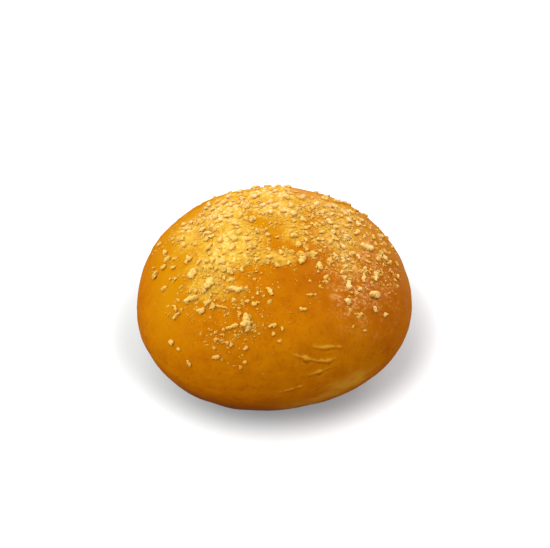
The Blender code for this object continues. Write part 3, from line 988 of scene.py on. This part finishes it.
def crumb_material(settings):
    """Baked crumb: pale butter yellow, toasted in places, with a fine open grain."""
    if "baked_crumb" in bpy.data.materials:
        return bpy.data.materials["baked_crumb"]
    material, tree, shader, place = new_material("baked_crumb")
    browned_and_shaded = grouped(tree, browning_and_painted_shade(), place, Patchiness=0.4)["Browned"]
    grain = grouped(tree, baked_grain(), place, Fineness=1500.0)
    toasting = ranged(tree, noise_field(tree, place, TOASTING_SPACING, 2.0), 0.36, 0.68, 0.0, 0.75)
    where = node(tree, "ShaderNodeSeparateXYZ", {0: place}).outputs
    # The crumbs take some of the browning, painted shade included.
    toasted = sum_of(tree, toasting, times(tree, browned_and_shaded, 0.3))
    toasted = sum_of(tree, toasted, ranged(tree, where["X"], *TOASTED_X, 0.0, 0.5))
    colour = blend(tree, toasted, pale_crumb_colour(tree, where, settings), (*settings.toasted, 1.0))
    glazed = ranged(tree, where["Y"], *GLAZED_Y, 0.0, 0.7)
    colour = blend(tree, glazed, colour, (*settings.glazed, 1.0))
    shade = ranged(tree, grain["Mottle"], 0.0, 1.0, 0.0, 0.2)
    colour = blend(tree, shade, colour, (*settings.pressed, 1.0))
    # Painted shade: darker orange where the crumbs meet the crust, with egg wash taken up there.
    soaked_shade = times(tree, surface_attribute(tree, "soaked_shade"), 0.8)
    colour = blend(tree, soaked_shade, colour, (*settings.soaked_shade, 1.0))
    tree.links.new(colour, shader.inputs["Base Color"])
    tree.links.new(ranged(tree, grain["Mottle"], 0.0, 1.0, 0.62, 0.85), shader.inputs["Roughness"])
    shader.inputs["Specular IOR Level"].default_value = 0.2
    shader.inputs["Subsurface Weight"].default_value = 0.4
    shader.inputs["Subsurface Radius"].default_value = (1.0, 0.8, 0.5)
    shader.inputs["Subsurface Scale"].default_value = 0.3 * MM
    bump_with_grain(tree, shader, grain, strength=0.5, distance=0.15 * MM)
    return material


# The floor away from the bun glows more, from the first of these distances to the second. They are
# measured from the middle of the shadow, with the shadow narrowed to a circle.
SHADOW_MIDDLE = (-1 * MM, 12 * MM, 0.0)
SHADOW_NARROWING = (0.85, 1.0, 1.0)
SHADOW_FADES = (46 * MM, 62 * MM)
OPEN_FLOOR_GLOW = (0.6, 0.6, 0.6, 1.0)
WORN_FLOOR = (0.8, 0.8, 0.8, 1.0)
# Share of the pale floor that shows in the bun's gloss.
FLOOR_IN_GLOSS = 0.3


def floor_material(settings):
    """The floor is pale to look at, and throws a browner light back at the bun."""
    material, tree, shader, place = new_material("pale_floor")
    wear = ranged(tree, noise_field(tree, place, WEAR_SPACING), 0.3, 0.7, 0.0, 0.03)
    colour = blend(tree, wear, (*settings.floor_colour, 1.0), WORN_FLOOR)
    path = node(tree, "ShaderNodeLightPath").outputs
    mirrored = times(tree, path["Is Glossy Ray"], FLOOR_IN_GLOSS)
    seen = sum_of(tree, path["Is Camera Ray"], mirrored, "MAXIMUM")
    colour = blend(tree, seen, (*settings.bounce_colour, 1.0), colour)
    tree.links.new(colour, shader.inputs["Base Color"])
    narrowed = node(tree, "ShaderNodeVectorMath", {0: place, 1: SHADOW_NARROWING}, operation="MULTIPLY")
    inputs = {0: narrowed.outputs[0], 1: SHADOW_MIDDLE}
    away = node(tree, "ShaderNodeVectorMath", inputs, operation="DISTANCE")
    glow = ranged(tree, away.outputs["Value"], *SHADOW_FADES)
    glow = blend(tree, glow, (*settings.floor_glow, 1.0), OPEN_FLOOR_GLOW)
    glow = blend(tree, seen, (0.0, 0.0, 0.0, 1.0), glow)
    tree.links.new(glow, shader.inputs["Emission Color"])
    shader.inputs["Emission Strength"].default_value = 1.0
    shader.inputs["Roughness"].default_value = 0.9
    shader.inputs["Specular IOR Level"].default_value = 0.1
    return material


def aimed(name, data, place, target):
    """A light or camera at this place, looking at the target."""
    obj = bpy.data.objects.new(name, data)
    bpy.context.scene.collection.objects.link(obj)
    obj.location = place
    obj.rotation_euler = (Vector(target) - Vector(place)).to_track_quat("-Z", "Y").to_euler()
    return obj


def around(azimuth, elevation, distance):
    """A place that looks along +Y from the front at azimuth 0, and from +X at azimuth 90."""
    return Vector(
        (
            distance * math.sin(azimuth) * math.cos(elevation),
            -distance * math.cos(azimuth) * math.cos(elevation),
            distance * math.sin(elevation),
        )
    )


# The photograph's frame in pixels, and where the middle of the bun stands in it.
FRAME_WIDTH = 550
FRAME_HEIGHT = 548
BUN_AT_PIXEL = (274.6, 291.5)
BUN_MIDDLE = Vector((0.0, 0.0, 28.5 * MM))
SENSOR_WIDTH = 36.0
# The window's size, and where it stands from the middle of the bun.
WINDOW_WIDTH = 0.5
WINDOW_HEIGHT = 0.6
WINDOW_AZIMUTH = math.radians(132)
WINDOW_ELEVATION = math.radians(40)
WINDOW_DISTANCE = 0.85
FLOOR_SIDES = 96


def place_camera(settings):
    """The camera at the photograph's angle, aimed so that the bun stands where it does there."""
    data = bpy.data.cameras.new("camera")
    data.sensor_width = SENSOR_WIDTH
    data.lens = settings.lens
    back = around(0.0, settings.camera_elevation, settings.camera_distance)
    camera = aimed("camera", data, BUN_MIDDLE + back, BUN_MIDDLE)
    pixel = SENSOR_WIDTH / data.lens / FRAME_WIDTH * settings.camera_distance
    right = (FRAME_WIDTH / 2 - BUN_AT_PIXEL[0]) * pixel
    up = (BUN_AT_PIXEL[1] - FRAME_HEIGHT / 2) * pixel
    turn = camera.rotation_euler.to_matrix()
    aim = BUN_MIDDLE + turn @ Vector((right, up, 0.0))
    camera.rotation_euler = (aim - camera.location).to_track_quat("-Z", "Y").to_euler()
    data.clip_start = 0.01
    bpy.context.scene.camera = camera


def place_lights(settings):
    """A broad key from the upper left, and a window behind on the right for the sheen."""
    key = bpy.data.lights.new("key", "SUN")
    key.energy = settings.key_strength
    key.angle = settings.key_softness
    key.color = settings.key_colour
    aimed("key", key, around(settings.key_azimuth, settings.key_elevation, 1.0), (0, 0, 0))
    window = bpy.data.lights.new("window", "AREA")
    window.shape = "RECTANGLE"
    window.size = WINDOW_WIDTH
    window.size_y = WINDOW_HEIGHT
    window.energy = settings.window_strength
    window.color = settings.window_colour
    aimed("window", window, around(WINDOW_AZIMUTH, WINDOW_ELEVATION, WINDOW_DISTANCE), BUN_MIDDLE)
    world = bpy.data.worlds.new("studio")
    bpy.context.scene.world = world
    world.use_nodes = True
    tree = world.node_tree
    seen = node(tree, "ShaderNodeLightPath").outputs["Is Camera Ray"]
    strength = ranged(tree, seen, 0.0, 1.0, settings.fill_strength, 1.0)
    colour = blend(tree, seen, (*settings.fill_colour, 1.0), (1.0, 1.0, 1.0, 1.0))
    background = tree.nodes["Background"]
    tree.links.new(colour, background.inputs["Color"])
    tree.links.new(strength, background.inputs["Strength"])


def colour_property(name, description, default):
    """A colour that the user picks."""
    return FloatVectorProperty(
        name=name, description=description, subtype="COLOR", min=0.0, max=1.0, default=default
    )


class BunCrustSettings(bpy.types.PropertyGroup):
    # Painted light: the colour laid over the top towards the back left, where the key light falls.
    lightest: colour_property(
        name="Lightest crust",
        description="Colour of the crust over the top, where it browned least",
        default=(0.52, 0.213, 0.0003),
    )
    buttery: colour_property(
        name="Buttery crust",
        description="Colour of the crust between the crumbs on the left, where their butter ran into it",
        default=(0.63, 0.29, 0.006),
    )
    golden: colour_property(
        name="Golden crust",
        description="Colour of most of the crust",
        default=(0.515, 0.177, 0.0003),
    )
    # Also the colour of the painted shade to the right, at the left rim and low down.
    browned_and_shaded: colour_property(
        name="Browned crust",
        description="Colour of the crust where the oven browned it most",
        default=(0.33, 0.072, 0.0003),
    )
    # Painted shade: the colour of the wrinkles' grooves and of the dark foot.
    painted_shade: colour_property(
        name="Scorched crust",
        description="Colour in the grooves and round the foot",
        default=(0.15, 0.038, 0.0005),
    )
    stretched: colour_property(
        name="Stretched crust",
        description="Colour of the paler dough that shows on the wrinkles",
        default=(0.64, 0.34, 0.03),
    )
    # Partly painted sheen: lighter pinkish streaks at the glossy places, partly the colour of a thick coat
    # of dried egg wash.
    wash_and_painted_sheen: colour_property(
        name="Dried egg wash",
        description="Colour of the streaks where the egg wash dried in a thick coat",
        default=(0.67, 0.305, 0.065),
    )
    hill_height: FloatProperty(
        name="Hill height",
        description="Height of the gentle hills in the skin",
        unit="LENGTH",
        default=0.3 * MM,
    )
    stretch_height: FloatProperty(
        name="Stretch line height",
        description="Height of the fine lines round the bun",
        unit="LENGTH",
        default=0.05 * MM,
    )
    wrinkle_height: FloatProperty(
        name="Wrinkle height",
        description="Height of the stretch wrinkles on the front",
        unit="LENGTH",
        default=0.28 * MM,
    )
    peel_height: FloatProperty(
        name="Peel height",
        description="Height of the fine bumps in the skin where the egg wash dried to a gloss",
        unit="LENGTH",
        default=0.12 * MM,
    )
    paste_height: FloatProperty(
        name="Pressed crumb height",
        description="Height of the finest crumbs that are pressed into the crust",
        unit="LENGTH",
        default=0.9 * MM,
    )


class BunCrumbSettings(bpy.types.PropertyGroup):
    pale: colour_property(
        name="Pale crumb",
        description="Colour of the lightest crumbs",
        default=(0.80, 0.585, 0.18),
    )
    # Painted sheen: the paler colour of crumbs towards the back and the right, where the window light
    # shines on them.
    palest_with_sheen: colour_property(
        name="Palest crumb",
        description="Colour of the lightest crumbs towards the back",
        default=(0.83, 0.63, 0.34),
    )
    toasted: colour_property(
        name="Toasted crumb",
        description="Colour of the crumbs that the oven toasted",
        default=(0.70, 0.42, 0.075),
    )
    # Also the colour of painted shade low on the lumps of the pressed crumbs.
    pressed: colour_property(
        name="Pressed crumb",
        description="Colour of the crumbs that soaked into the egg wash",
        default=(0.67, 0.455, 0.055),
    )
    glazed: colour_property(
        name="Glazed crumb",
        description="Colour of the crumbs low on the front, which dried in the egg wash",
        default=(0.76, 0.38, 0.11),
    )
    # Painted shade, with egg wash taken up: the darker orange of crumbs where they meet the crust, and in
    # the hollows of the pressed crumbs.
    soaked_shade: colour_property(
        name="Soaked crumb",
        description="Colour of the crumbs where they touch the crust and soaked up egg wash",
        default=(0.60, 0.30, 0.012),
    )
    seed: IntProperty(
        name="Seed",
        description="Picks the shapes of the crumbs and the places of the small ones",
        default=5,
    )
    coarse_count: IntProperty(
        name="Coarse crumbs",
        description="Number of crumbs about two millimetres across",
        default=480,
        min=0,
    )
    medium_count: IntProperty(
        name="Medium crumbs",
        description="Number of crumbs about one millimetre across",
        default=1700,
        min=0,
    )
    fine_count: IntProperty(
        name="Fine crumbs",
        description="Number of grains about half a millimetre across",
        default=6500,
        min=0,
    )


class BunStageSettings(bpy.types.PropertyGroup):
    camera_elevation: FloatProperty(
        name="Camera elevation",
        description="Angle of the camera above the floor",
        subtype="ANGLE",
        default=math.radians(45),
    )
    camera_distance: FloatProperty(
        name="Camera distance",
        description="Distance of the camera from the middle of the bun",
        unit="LENGTH",
        default=0.62,
    )
    lens: FloatProperty(
        name="Lens",
        description="Focal length of the camera in millimetres",
        default=111.2,
    )
    key_strength: FloatProperty(
        name="Key strength",
        description="Strength of the soft light from the upper left",
        default=2.33,
    )
    key_azimuth: FloatProperty(
        name="Key azimuth",
        description="Where the key light stands: 0 in front of the bun, 90 degrees to its right",
        subtype="ANGLE",
        default=math.radians(-92),
    )
    key_elevation: FloatProperty(
        name="Key elevation",
        description="Angle of the key light above the floor",
        subtype="ANGLE",
        default=math.radians(57),
    )
    key_softness: FloatProperty(
        name="Key softness",
        description="Angle that the key light fills as seen from the bun",
        subtype="ANGLE",
        default=math.radians(76),
    )
    key_colour: colour_property(
        name="Key colour",
        description="Colour of the key light",
        default=(1.0, 0.98, 0.94),
    )
    window_strength: FloatProperty(
        name="Window strength",
        description="Power of the light behind the bun on its right, in watts",
        default=2.7,
    )
    window_colour: colour_property(
        name="Window colour",
        description="Colour of the light behind the bun on its right",
        default=(1.0, 0.86, 0.86),
    )
    fill_colour: colour_property(
        name="Fill colour",
        description="Colour of the light from all round",
        default=(1.0, 0.98, 0.94),
    )
    fill_strength: FloatProperty(
        name="Fill strength",
        description="Strength of the light from all round",
        default=0.72,
    )
    floor_colour: colour_property(
        name="Floor colour",
        description="Colour of the plain floor",
        default=(0.55, 0.575, 0.59),
    )
    floor_glow: colour_property(
        name="Floor glow",
        description="Light added to the floor as the camera sees it, so that shadows stay pale",
        default=(0.17, 0.18, 0.19),
    )
    bounce_colour: colour_property(
        name="Bounce colour",
        description="Colour of the light that the floor throws back at the bun",
        default=(0.36, 0.22, 0.09),
    )
    floor_radius: FloatProperty(
        name="Floor radius",
        description="Radius of the round floor",
        unit="LENGTH",
        default=4.0,
    )


class BUN_OT_crust(bpy.types.Operator):
    """Build the egg-washed crust in place of the plain solid"""

    bl_idname = "bun.crust"
    bl_label = "Crust"

    def execute(self, context):
        scene = context.scene
        material = crust_material(scene.bun_crust, scene.bun_crumbs)
        crust = new_piece("crust", build_crust(scene.bun_crust), material)
        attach(crust, "root")
        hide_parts("bun")
        return {"FINISHED"}


class BUN_OT_large_crumbs(bpy.types.Operator):
    """Build the large crumbs where the solid has them"""

    bl_idname = "bun.large_crumbs"
    bl_label = "Large crumbs"

    def execute(self, context):
        settings = context.scene.bun_crumbs
        material = crumb_material(settings)
        crumbs = new_piece("large_crumbs", build_large_crumbs(settings), material)
        grow_together(crumbs)
        crumbs.data.materials.clear()
        crumbs.data.materials.append(material)
        crumbs.data.shade_smooth()
        mark_soak_and_shade(crumbs)
        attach(crumbs, "root")
        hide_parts("bun")
        return {"FINISHED"}


class BUN_OT_small_crumbs(bpy.types.Operator):
    """Scatter the medium crumbs and the fine grains over the crust"""

    bl_idname = "bun.small_crumbs"
    bl_label = "Small crumbs"

    def execute(self, context):
        settings = context.scene.bun_crumbs
        draw = random.Random(settings.seed + 1)
        coarse = CrumbKind("coarse_crumbs", settings.coarse_count, 3.0 * MM, 1.5 * MM, 1.25, 3, 2.0 * MM, 3)
        medium = CrumbKind("medium_crumbs", settings.medium_count, 1.6 * MM, 0.8 * MM, 1.4, 5, 1.3 * MM, 2)
        fine = CrumbKind("fine_crumbs", settings.fine_count, 0.8 * MM, 0.3 * MM, 1.6, 9, 1.6 * MM, 1)
        for kind in (coarse, medium, fine):
            places = small_crumb_places(kind, draw)
            mesh = build_small_crumbs(kind.name, places, kind.subdivisions, draw)
            crumbs = new_piece(kind.name, mesh, crumb_material(settings))
            crumbs.data.shade_smooth()
            mark_soak_and_shade(crumbs)
            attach(crumbs, "root")
        return {"FINISHED"}


class BUN_OT_stage(bpy.types.Operator):
    """Set up the pale floor, the soft lights and the camera"""

    bl_idname = "bun.stage"
    bl_label = "Stage"

    def execute(self, context):
        settings = context.scene.bun_stage
        bm = bmesh.new()
        bmesh.ops.create_circle(bm, cap_ends=True, segments=FLOOR_SIDES, radius=settings.floor_radius)
        mesh = bpy.data.meshes.new("floor")
        bm.to_mesh(mesh)
        bm.free()
        mesh.materials.append(floor_material(settings))
        floor = bpy.data.objects.new("floor", mesh)
        context.scene.collection.objects.link(floor)
        place_lights(settings)
        place_camera(settings)
        context.scene.view_settings.view_transform = "Standard"
        return {"FINISHED"}


class BUN_PT_panel(bpy.types.Panel):
    """The bun's sizes and colours, and a button for each of its pieces"""

    bl_idname = "BUN_PT_panel"
    bl_label = "Milk bun"
    bl_space_type = "VIEW_3D"
    bl_region_type = "UI"
    bl_category = "Bun"

    def draw(self, context):
        scene = context.scene
        sections = (
            (scene.bun_crust, ("bun.crust",)),
            (scene.bun_crumbs, ("bun.large_crumbs", "bun.small_crumbs")),
            (scene.bun_stage, ("bun.stage",)),
        )
        for settings, operators in sections:
            box = self.layout.box()
            for name in settings.bl_rna.properties.keys():
                if name not in ("rna_type", "name"):
                    box.prop(settings, name)
            for operator in operators:
                box.operator(operator)


CLASSES = (
    BunCrustSettings,
    BunCrumbSettings,
    BunStageSettings,
    BUN_OT_crust,
    BUN_OT_large_crumbs,
    BUN_OT_small_crumbs,
    BUN_OT_stage,
    BUN_PT_panel,
)


def register():
    for cls in CLASSES:
        bpy.utils.register_class(cls)
    bpy.types.Scene.bun_crust = PointerProperty(type=BunCrustSettings)
    bpy.types.Scene.bun_crumbs = PointerProperty(type=BunCrumbSettings)
    bpy.types.Scene.bun_stage = PointerProperty(type=BunStageSettings)


def unregister():
    del bpy.types.Scene.bun_stage
    del bpy.types.Scene.bun_crumbs
    del bpy.types.Scene.bun_crust
    for cls in reversed(CLASSES):
        bpy.utils.unregister_class(cls)


def main():
    register()
    bpy.ops.bun.crust()
    bpy.ops.bun.large_crumbs()
    bpy.ops.bun.small_crumbs()
    bpy.ops.bun.stage()


if __name__ == "__main__":
    main()
